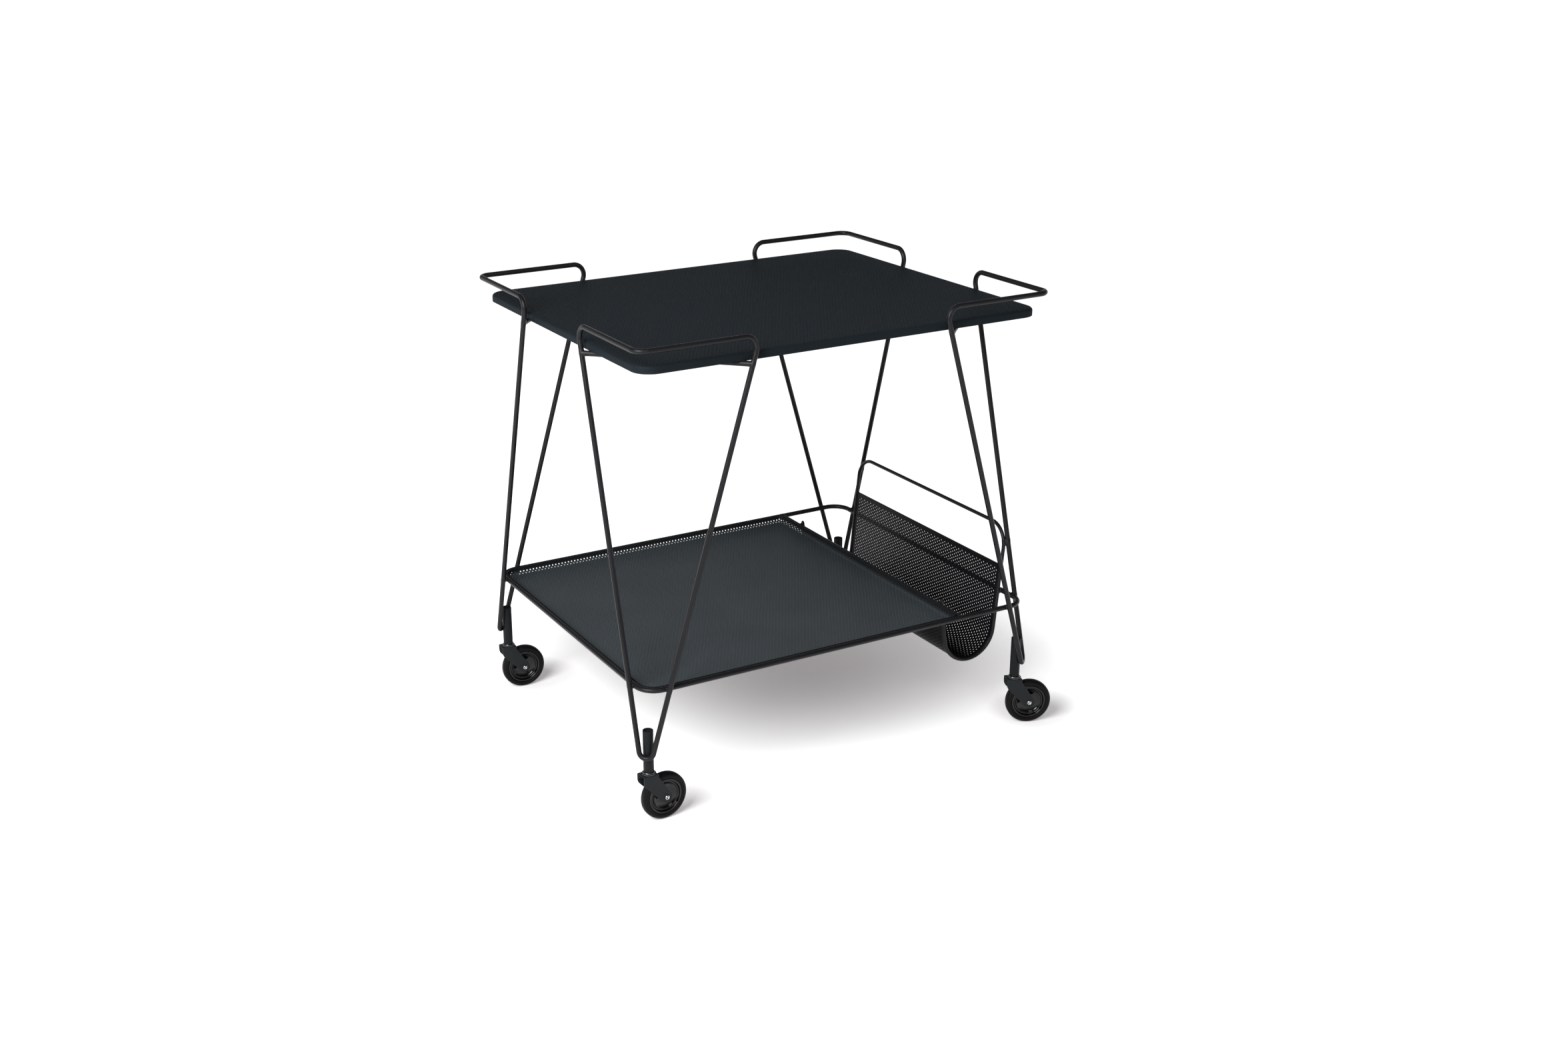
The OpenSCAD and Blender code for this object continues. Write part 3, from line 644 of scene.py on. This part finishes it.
# %% Turn the tubes, cups, wheels and rivets
tube_spot = (337.938, 267.252)
swivel_angle = {"front_left": 4, "front_right": -22, "rear_left": -4, "rear_right": -10}
trail = 25
axle_height = 37.5


def swivel_place(corner):
    """A caster's place: its origin on the floor under the tube, its X axis towards the wheel."""
    upright = Matrix.Translation(at_corner(corner, tube_spot, 0) / 1000)
    return upright @ Matrix.Rotation(math.radians(swivel_angle[corner]), 4, "Z")


def both_sides(outline):
    """The outline of one side of the wheel and, in turn, its mirror image."""
    return outline + [(radius, -height) for radius, height in reversed(outline)]


tube_outline = [(6.5, 84.9), (6.9, 84.5), (7.5, 84.5), (7.9, 84.8), (8, 85.3), (8, 151.3), (7.85, 151.8),
                (7.5, 152), (7, 152), (6.65, 151.85), (6.5, 151.4)]
cup_outline = [(4, 81.3), (9.6, 81.3), (10.6, 81.4), (11, 81.8), (10.9, 82.3), (10.3, 82.6), (9.7, 82.7),
               (9.3, 83), (9.1, 83.7), (8.8, 84.2), (8.2, 84.5), (4, 84.5)]
core_outline = both_sides([
    (4.6, 7), (7.3, 7), (7.8, 6.8), (8.1, 6.2), (8.7, 2.9), (9.4, 1.9), (10.6, 1.5), (12.5, 1.7),
    (14.5, 2.15), (16.5, 2.8), (18.3, 3.6), (19.2, 4.2), (19.7, 4.8), (20.2, 5.1), (20.7, 4.9), (21, 4.3),
    (21.5, 3.6), (22.2, 3.2), (23.2, 3.2), (24, 3.7), (24.6, 4.7), (25, 5.9), (25.4, 6.6), (26, 6.95),
    (26.9, 7), (27.8, 6.8), (28.3, 6.3), (28.5, 5.8)])
shoulder_turns = [math.radians(9 * step) for step in range(11)]
shoulder = [(31.5 + 6 * math.sin(turn), 2 + 6 * math.cos(turn)) for turn in shoulder_turns]
tyre_side = [(28.5, 6.4), (28.8, 7), (29.4, 7.5), (30.2, 7.8), (30.7, 7.85), (30.95, 7.65), (31.2, 7.9)]
tyre_outline = both_sides(tyre_side + shoulder)
rivet_end = [(3, 10.4), (3.8, 10.5), (3.95, 10.9), (3.8, 11.6), (3.35, 12.2), (2.7, 12.5), (2.1, 12.4),
             (1.6, 11.9), (1.2, 11.2), (0.7, 10.8), (0, 10.7)]
rivet_outline = [(radius, -height) for radius, height in reversed(rivet_end)] + rivet_end


def turn_piece(name, node, outline, place, body, slot, paint=None, ring=True, steps=72):
    """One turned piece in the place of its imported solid, with its slot's finish or one of its own."""
    mesh = bmesh.new()
    turned(mesh, outline, place, steps, ring)
    piece = keep(name, mesh, body, slot, 35)
    if paint:
        piece.data.materials[0] = finishes[paint]
    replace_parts(piece, node)


for corner in places:
    swivel = swivel_place(corner)
    hub = swivel @ Matrix.Translation((trail / 1000, 0, axle_height / 1000))
    axle = hub @ Matrix.Rotation(math.pi / 2, 4, "X")
    turn_piece("tube_" + corner, "caster_tube_" + corner, tube_outline, swivel, "frame", "rod", "tube")
    # The cups and the rivets take zinc darkened with painted shade
    turn_piece("cup_" + corner, "swivel_cup_" + corner, cup_outline, swivel, "frame", "zinc", "cup")
    turn_piece("core_" + corner, "wheel_core_" + corner, core_outline, axle, "wheel_" + corner, "core")
    turn_piece("tread_" + corner, "tyre_" + corner, tyre_outline, axle, "wheel_" + corner, "tyre", steps=96)
    turn_piece("rivet_" + corner, "axle_bolt_" + corner, rivet_outline, axle, "caster_" + corner, "zinc",
               "rivet", ring=False, steps=40)
print("turned", 5 * len(places), "pieces")

# %% Round the forks' edges
fork_half_width = 10.5
fork_top = 81.0
fork_front = -14
fork_front_low = 66.0


def round_edges(mesh, edges, offset, segments):
    """Rounds edges by an offset in millimetres."""
    bmesh.ops.bevel(mesh, geom=edges, offset=offset / 1000, offset_type="OFFSET", segments=segments,
                    profile=0.5, affect="EDGES", clamp_overlap=True)


for corner in places:
    swivel = swivel_place(corner)
    mesh = bmesh.new()
    mesh.from_mesh(nodes["fork_" + corner].data)
    mesh.transform(swivel.inverted())
    bmesh.ops.remove_doubles(mesh, verts=mesh.verts, dist=0.00001)
    bmesh.ops.dissolve_limit(mesh, angle_limit=math.radians(1), verts=mesh.verts, edges=mesh.edges)
    folds = []
    front_corners = []
    for edge in mesh.edges:
        ends = [vertex.co * 1000 for vertex in edge.verts]
        if all(abs(end.z - fork_top) < 0.01 and abs(abs(end.y) - fork_half_width) < 0.01 for end in ends):
            folds.append(edge)
        if all(abs(end.z - fork_front_low) < 0.01 and abs(end.x - fork_front) < 0.01 for end in ends):
            front_corners.append(edge)
    round_edges(mesh, front_corners, 5.0, 6)
    # Rounding the corners can replace an edge that was found before
    folds = [edge for edge in folds if edge.is_valid]
    round_edges(mesh, folds, 2.0, 5)
    seams = [edge for edge in mesh.edges if len(edge.link_faces) == 2]
    sharp = [edge for edge in seams if edge.calc_face_angle() > math.radians(50)]
    round_edges(mesh, sharp, 0.3, 2)
    mesh.transform(swivel)
    bmesh.ops.triangulate(mesh, faces=[face for face in mesh.faces if len(face.verts) > 4])
    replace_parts(keep("bent_fork_" + corner, mesh, "caster_" + corner, "fork", 35), "fork_" + corner)
    print("fork", corner, "edges rounded:", len(sharp))

# %% [markdown]
# ## The punched sheets
# Both trays and the rack are one stock of sheet steel, punched with staggered rows of round holes before it
# was cut and folded. The photograph gives the stock's grid: holes 6.02 mm apart along the trolley, in rows
# 4.93 mm apart. A texture with see-through dots would show no thickness at the edges of the holes, so the
# holes are real: a tree of nodes lays a brick of sheet with one hole on each point of the grid, fills the
# plain border round them, and folds the flat blank as the press would. All sizes in it are millimetres.

# %% Where a point lies on the blank
stock = {"Pitch": 6.02, "Row gap": 4.93, "Hole": 2.75}
sheet_thickness = 1.2


def position(tree):
    """The x and y of each point."""
    split = tree.put("ShaderNodeSeparateXYZ", sockets={0: tree.put("GeometryNodeInputPosition")})
    return split.output("X"), split.output("Y")


def outside(x, y, size):
    """How far a point lies outside the sheet's flat part, which has rounded corners, and which way out is."""
    corner = size["Left corner"] + (x > 0.0) * (size["Right corner"] - size["Left corner"])
    past_x = x.maths("ABSOLUTE") - size["Half length"] + corner
    past_y = y.maths("ABSOLUTE") - size["Half width"] + corner
    out_x = past_x.maths("MAXIMUM", 0.0)
    out_y = past_y.maths("MAXIMUM", 0.0)
    far = (out_x * out_x + out_y * out_y).maths("SQRT")
    inside = past_x.maths("MAXIMUM", past_y).maths("MINIMUM", 0.0)
    return far + inside - corner, out_x / far * x.maths("SIGN"), out_y / far * y.maths("SIGN")


print("stock: holes", stock["Pitch"], "mm apart, rows", stock["Row gap"], "mm apart")

# %% Punch the stock
hole_sides = 8


def hole_grid(tree, size):
    """Points of the stock's grid that carry a hole, every second row shifted by half a hole."""
    length = (size["Half length"] + size["Hole limit"]) * 2.0 + size["Pitch"] * 2.0
    width = (size["Half width"] + size["Hole limit"]) * 2.0
    columns = (length / size["Pitch"]).maths("ROUND")
    rows = (width / size["Row gap"]).maths("ROUND")
    grid = tree.put("GeometryNodeMeshGrid", sockets={
        "Size X": columns * size["Pitch"], "Size Y": rows * size["Row gap"],
        "Vertices X": columns + 1.0, "Vertices Y": rows + 1.0})
    x, y = position(tree)
    row = (y / size["Row gap"] + rows / 2.0).maths("ROUND")
    shift = tree.put("ShaderNodeCombineXYZ", sockets={"X": (row % 2.0 - 0.5) * size["Pitch"] / 2.0})
    staggered = tree.put("GeometryNodeSetPosition", sockets={"Geometry": grid, "Offset": shift})
    past_field = (x < size["First"]).maths("MAXIMUM", x > size["Last"])
    wrong = (outside(x, y, size)[0] > size["Hole limit"]).maths("MAXIMUM", past_field)
    return tree.put("GeometryNodeDeleteGeometry", sockets={"Geometry": staggered, "Selection": wrong})


def outline_of(tree, mesh):
    """The free edges of a flat mesh as curves."""
    shared = tree.put("GeometryNodeInputMeshEdgeNeighbors")
    return tree.put("GeometryNodeMeshToCurve", sockets={"Mesh": mesh, "Selection": shared < 2.0})


def fill(tree, *curves):
    """The flat faces between an outer outline and the holes in it."""
    joined = tree.put("GeometryNodeJoinGeometry", sockets={"Geometry": list(curves)})
    return tree.put("GeometryNodeFillCurve", {"mode": "TRIANGLES"}, {"Curve": joined})


def lay(tree, points, piece):
    """A copy of the piece on each point, joined edge to edge."""
    copies = tree.put("GeometryNodeInstanceOnPoints", sockets={"Points": points, "Instance": piece})
    real = tree.put("GeometryNodeRealizeInstances", sockets={"Geometry": copies})
    return tree.put("GeometryNodeMergeByDistance", sockets={"Geometry": real, "Distance": 0.01})


def brick(tree, size):
    """The plain piece of sheet round one hole: the corners of one row meet the middles of the next."""
    return tree.put("GeometryNodeMeshGrid", sockets={
        "Size X": size["Pitch"], "Size Y": size["Row gap"], "Vertices X": 3, "Vertices Y": 2})


def punched(tree, size):
    """The part of the sheet that carries holes: a brick with its hole on every point of the grid."""
    hole = tree.put("GeometryNodeCurvePrimitiveCircle", {"mode": "RADIUS"}, {
        "Resolution": hole_sides, "Radius": size["Hole"] / 2.0})
    return lay(tree, hole_grid(tree, size), fill(tree, outline_of(tree, brick(tree, size)), hole))


print("each hole has", hole_sides, "sides")

# %% The plain border between the holes and the cut edge
def border(tree, size, around, across):
    """A strip along the cut edge, and the fill between it and the stepped outline of the holes."""
    start = size["Strip start"]
    box = tree.put("GeometryNodeCurvePrimitiveQuadrilateral", {"mode": "RECTANGLE"}, {
        "Width": (size["Half length"] + start) * 2.0, "Height": (size["Half width"] + start) * 2.0})
    x, y = position(tree)
    corner = size["Left corner"] + (x > 0.0) * (size["Right corner"] - size["Left corner"]) + start
    round_box = tree.put("GeometryNodeFilletCurve", {"mode": "POLY"}, {
        "Curve": box, "Count": 16, "Radius": corner})
    grid = tree.put("GeometryNodeMeshGrid", sockets={
        "Size X": 1.0, "Size Y": 1.0, "Vertices X": around + 1, "Vertices Y": across + 1})
    on_edge = tree.put("GeometryNodeSampleCurve", sockets={"Curves": round_box, "Factor": x + 0.5}, out=1)
    split = tree.put("ShaderNodeSeparateXYZ", sockets={0: on_edge})
    way = outside(split.output("X"), split.output("Y"), size)
    step = (y + 0.5) * (size["Cut edge"] - start)
    spread = tree.put("ShaderNodeCombineXYZ", sockets={
        "X": split.output("X") + way[1] * step, "Y": split.output("Y") + way[2] * step})
    strip = tree.put("GeometryNodeSetPosition", sockets={"Geometry": grid, "Position": spread})
    closed = tree.put("GeometryNodeMergeByDistance", sockets={
        "Geometry": tree.put("GeometryNodeFlipFaces", sockets={"Mesh": strip}), "Distance": 0.01})
    x, y = position(tree)
    on_inner = outside(x, y, size)[0] < start + 0.01
    shared = tree.put("GeometryNodeInputMeshEdgeNeighbors")
    inner = tree.put("GeometryNodeMeshToCurve", sockets={
        "Mesh": closed, "Selection": (shared < 2.0) * on_inner})
    bricks = lay(tree, hole_grid(tree, size), brick(tree, size))
    filled = fill(tree, inner, outline_of(tree, bricks))
    joined = tree.put("GeometryNodeJoinGeometry", sockets={"Geometry": [closed, filled]})
    return tree.put("GeometryNodeMergeByDistance", sockets={"Geometry": joined, "Distance": 0.01})


print("border ready")

# %% Fold a tray's edge, and turn the flat blank into a plate
def fold_pan(tree, sheet, size):
    """Bends what lies outside the flat part round the fold, up or down, and moves the tray to its place."""
    x, y = position(tree)
    distance, way_x, way_y = outside(x, y, size)
    run = distance.maths("MAXIMUM", 0.0)
    turn = (run / size["Fold"]).maths("MINIMUM", math.pi / 2)
    pull = size["Fold"] * turn.maths("SINE") - run
    straight = (run - size["Fold"] * (math.pi / 2)).maths("MAXIMUM", 0.0)
    rise = (size["Fold"] * (1.0 - turn.maths("COSINE")) + straight) * size["Fold way"]
    folded = tree.put("ShaderNodeCombineXYZ", sockets={
        "X": x + way_x * pull + size["Centre"], "Y": y + way_y * pull, "Z": rise + size["Level"]})
    return tree.put("GeometryNodeSetPosition", sockets={"Geometry": sheet, "Position": folded})


def plate(name, tree, sheet, sizes, slot, side):
    """A sheet of the stock's thickness from a tree's flat faces."""
    end_tree(tree, sheet, slot)
    return make_plain(run_tree(name, tree, sizes, thickness=(sheet_thickness, side)), "frame")


print("folding ready")

# %% [markdown]
# ## Three sheets from one stock
# The top tray's edge is folded down with a plain skirt, so its holes stop short of the fold. The lower tray
# was punched over its whole blank: the holes run over its round fold and up its lip. The rack is a plain
# strip bent round its bottom, hung between two sides of rod. Each sheet is cut in fields, because one mesh
# of all the holes would be too heavy to edit.

# %% The two trays
everywhere = {"First": -1000.0, "Last": 1000.0}


def tray(node, sizes, slot, side, around, across, cuts):
    """The border of a tray and its fields of holes between the cuts."""
    tree, size = sized_tree(node + " border", sizes)
    sheet = fold_pan(tree, border(tree, size, around, across), size)
    edge = plate(node + "_edge", tree, sheet, sizes, slot, side)
    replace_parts(edge, node)
    for number, (first, last) in enumerate(zip(cuts, cuts[1:])):
        own = {**sizes, "First": first, "Last": last}
        tree, size = sized_tree(node + " holes " + str(number + 1), own)
        sheet = fold_pan(tree, punched(tree, size), size)
        field = plate(node + "_holes_" + str(number + 1), tree, sheet, own, slot, side)
        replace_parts(field, node)


top_fold = 4.0
top_skirt = 11.5
top_sizes = {
    **stock, **everywhere, "Half length": 341 - top_fold, "Half width": 275 - top_fold,
    "Left corner": 29 - top_fold, "Right corner": 29 - top_fold, "Hole limit": -3.0, "Strip start": 1.2,
    "Cut edge": top_fold * math.pi / 2 + top_skirt - top_fold, "Fold": top_fold, "Fold way": -1.0,
    "Centre": frame_middle, "Level": 701.0,
}
tray("top_tray", top_sizes, "top_sheet", side=-1, around=720, across=8, cuts=(-1000, -116, 116, 1000))
low_fold = 8
low_lip = 12.2
low_left = -340.68 + low_fold
low_right = 214.996 - low_fold
low_edge = low_fold * math.pi / 2 + low_lip - low_fold
low_sizes = {
    **stock, **everywhere, "Half length": (low_right - low_left) / 2, "Half width": 270.84 - low_fold,
    "Left corner": 26.0 - low_fold, "Right corner": 10.0 - low_fold, "Hole limit": 12.4,
    "Strip start": low_edge - 0.4, "Cut edge": low_edge, "Fold": low_fold, "Fold way": 1.0,
    "Centre": frame_middle + (low_left + low_right) / 2, "Level": 206.8,
}
tray("lower_tray", low_sizes, "low_sheet", side=1, around=1200, across=1, cuts=(-1000, -94, 94, 1000))

# %% The magazine rack's sheet
rack_sheet_height = 260
rack_half_width = 209.82
middle_lean = (lean_out - lean_in) / 2
to_middle = Vector((math.sin(middle_lean), math.cos(middle_lean)))
bend_centre = meeting + to_middle * bottom_radius / math.sin((lean_out + lean_in) / 2)
rack_top = rack_outer(rack_sheet_height)
rack_end = rack_inner(hoop_height + sheet_thickness / 2)
out_length = (rack_top - bend_centre).dot(up_out) - sheet_thickness
in_length = (rack_end - bend_centre).dot(up_in) - sheet_thickness
bend_angle = math.pi - lean_out - lean_in
rack_length = out_length + bottom_radius * bend_angle + in_length


def bend_rack(tree, sheet, size):
    """Lays the flat strip down the outer side, round the bottom and up the inner side."""
    x, y = position(tree)
    run = x + size["Half length"]
    before = (size["Outer side"] - run).maths("MAXIMUM", 0.0)
    turn = ((run - size["Outer side"]) / size["Bend"]).maths("MAXIMUM", 0.0).maths("MINIMUM", bend_angle)
    after = (run - size["Outer side"] - size["Bend"] * bend_angle).maths("MAXIMUM", 0.0)
    angle = -lean_out - turn
    bent = tree.put("ShaderNodeCombineXYZ", sockets={
        "X": angle.maths("COSINE") * size["Bend"] + before * up_out.x + after * up_in.x + bend_centre.x,
        "Y": y,
        "Z": angle.maths("SINE") * size["Bend"] + before * up_out.y + after * up_in.y + bend_centre.y})
    return tree.put("GeometryNodeSetPosition", sockets={"Geometry": sheet, "Position": bent})


rack_sizes = {
    **stock, "First": -rack_length / 2 + 8, "Last": 1000.0, "Half length": rack_length / 2,
    "Half width": rack_half_width, "Left corner": 1.0, "Right corner": 1.0, "Hole limit": -3.6,
    "Strip start": -0.5, "Cut edge": 0.0, "Outer side": out_length, "Bend": bottom_radius,
}
tree, size = sized_tree("rack border", rack_sizes)
sheet = bend_rack(tree, border(tree, size, around=900, across=1), size)
edge = plate("rack_sheet_edge", tree, sheet, rack_sizes, "rack_sheet", 0)
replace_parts(edge, "rack_sheet")
for number, (first, last) in enumerate(((rack_sizes["First"], 0), (0, 1000))):
    own = {**rack_sizes, "First": first, "Last": last}
    tree, size = sized_tree("rack holes " + str(number + 1), own)
    sheet = bend_rack(tree, punched(tree, size), size)
    field = plate("rack_sheet_holes_" + str(number + 1), tree, sheet, own, "rack_sheet", 0)
    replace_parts(field, "rack_sheet")

# %% [markdown]
# The rack's top edge is hemmed: the sheet is folded outwards on itself, so that no cut edge meets the hand.
# The other end is bent over to the cross rod and welded there. Both are long folds of one section, so each
# is a prism drawn from the side.

# %% The rack's hem and its flange
def prism(name, outline, half_width, body, slot):
    """A closed prism across the trolley from a side outline in millimetres."""
    mesh = bmesh.new()
    ends = []
    for end_y in (-half_width / 1000, half_width / 1000):
        ends.append([mesh.verts.new((x / 1000, end_y, z / 1000)) for x, z in outline])
    for first in range(len(outline)):
        second = (first + 1) % len(outline)
        mesh.faces.new((ends[0][first], ends[0][second], ends[1][second], ends[1][first]))
    mesh.faces.new(ends[0])
    mesh.faces.new(ends[1])
    bmesh.ops.recalc_face_normals(mesh, faces=mesh.faces)
    return keep(name, mesh, body, slot)


half_sheet = sheet_thickness / 2
out_face = Vector((up_out.y, -up_out.x))
fold_middle = rack_top - up_out * sheet_thickness + out_face * half_sheet
hem_outline = []
for step in range(13):
    turn = math.pi * step / 12
    hem_outline.append(fold_middle + (out_face * -math.cos(turn) + up_out * math.sin(turn)) * sheet_thickness)
hem_foot = rack_top - up_out * 7.2
hem_outline += [hem_foot + out_face * 1.8 + up_out * 0.4, hem_foot + out_face * 1.5,
                hem_foot + out_face * 0.6, fold_middle]
hem = prism("rack_sheet_hem", hem_outline, rack_half_width, "frame", "rack_sheet")
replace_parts(hem, "rack_sheet")
in_face = Vector((up_in.y, -up_in.x))
low_end = rack_end - up_in * sheet_thickness
flange_x = frame_middle + 223.036
flange_top = hoop_height + half_sheet
flange_bottom = hoop_height - half_sheet
flange_outline = [low_end + in_face * half_sheet, low_end + in_face * 0.3 + up_in * 0.8,
                  Vector((rack_in_x - half_sheet, flange_top)), Vector((flange_x, flange_top)),
                  Vector((flange_x, flange_bottom)), low_end - in_face * half_sheet]
flange = prism("rack_sheet_flange", flange_outline, rack_half_width, "frame", "rack_sheet")
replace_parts(flange, "rack_sheet")
print("hem", round(rack_top.y, 1), "mm high, bend", round(math.degrees(bend_angle), 1), "degrees")
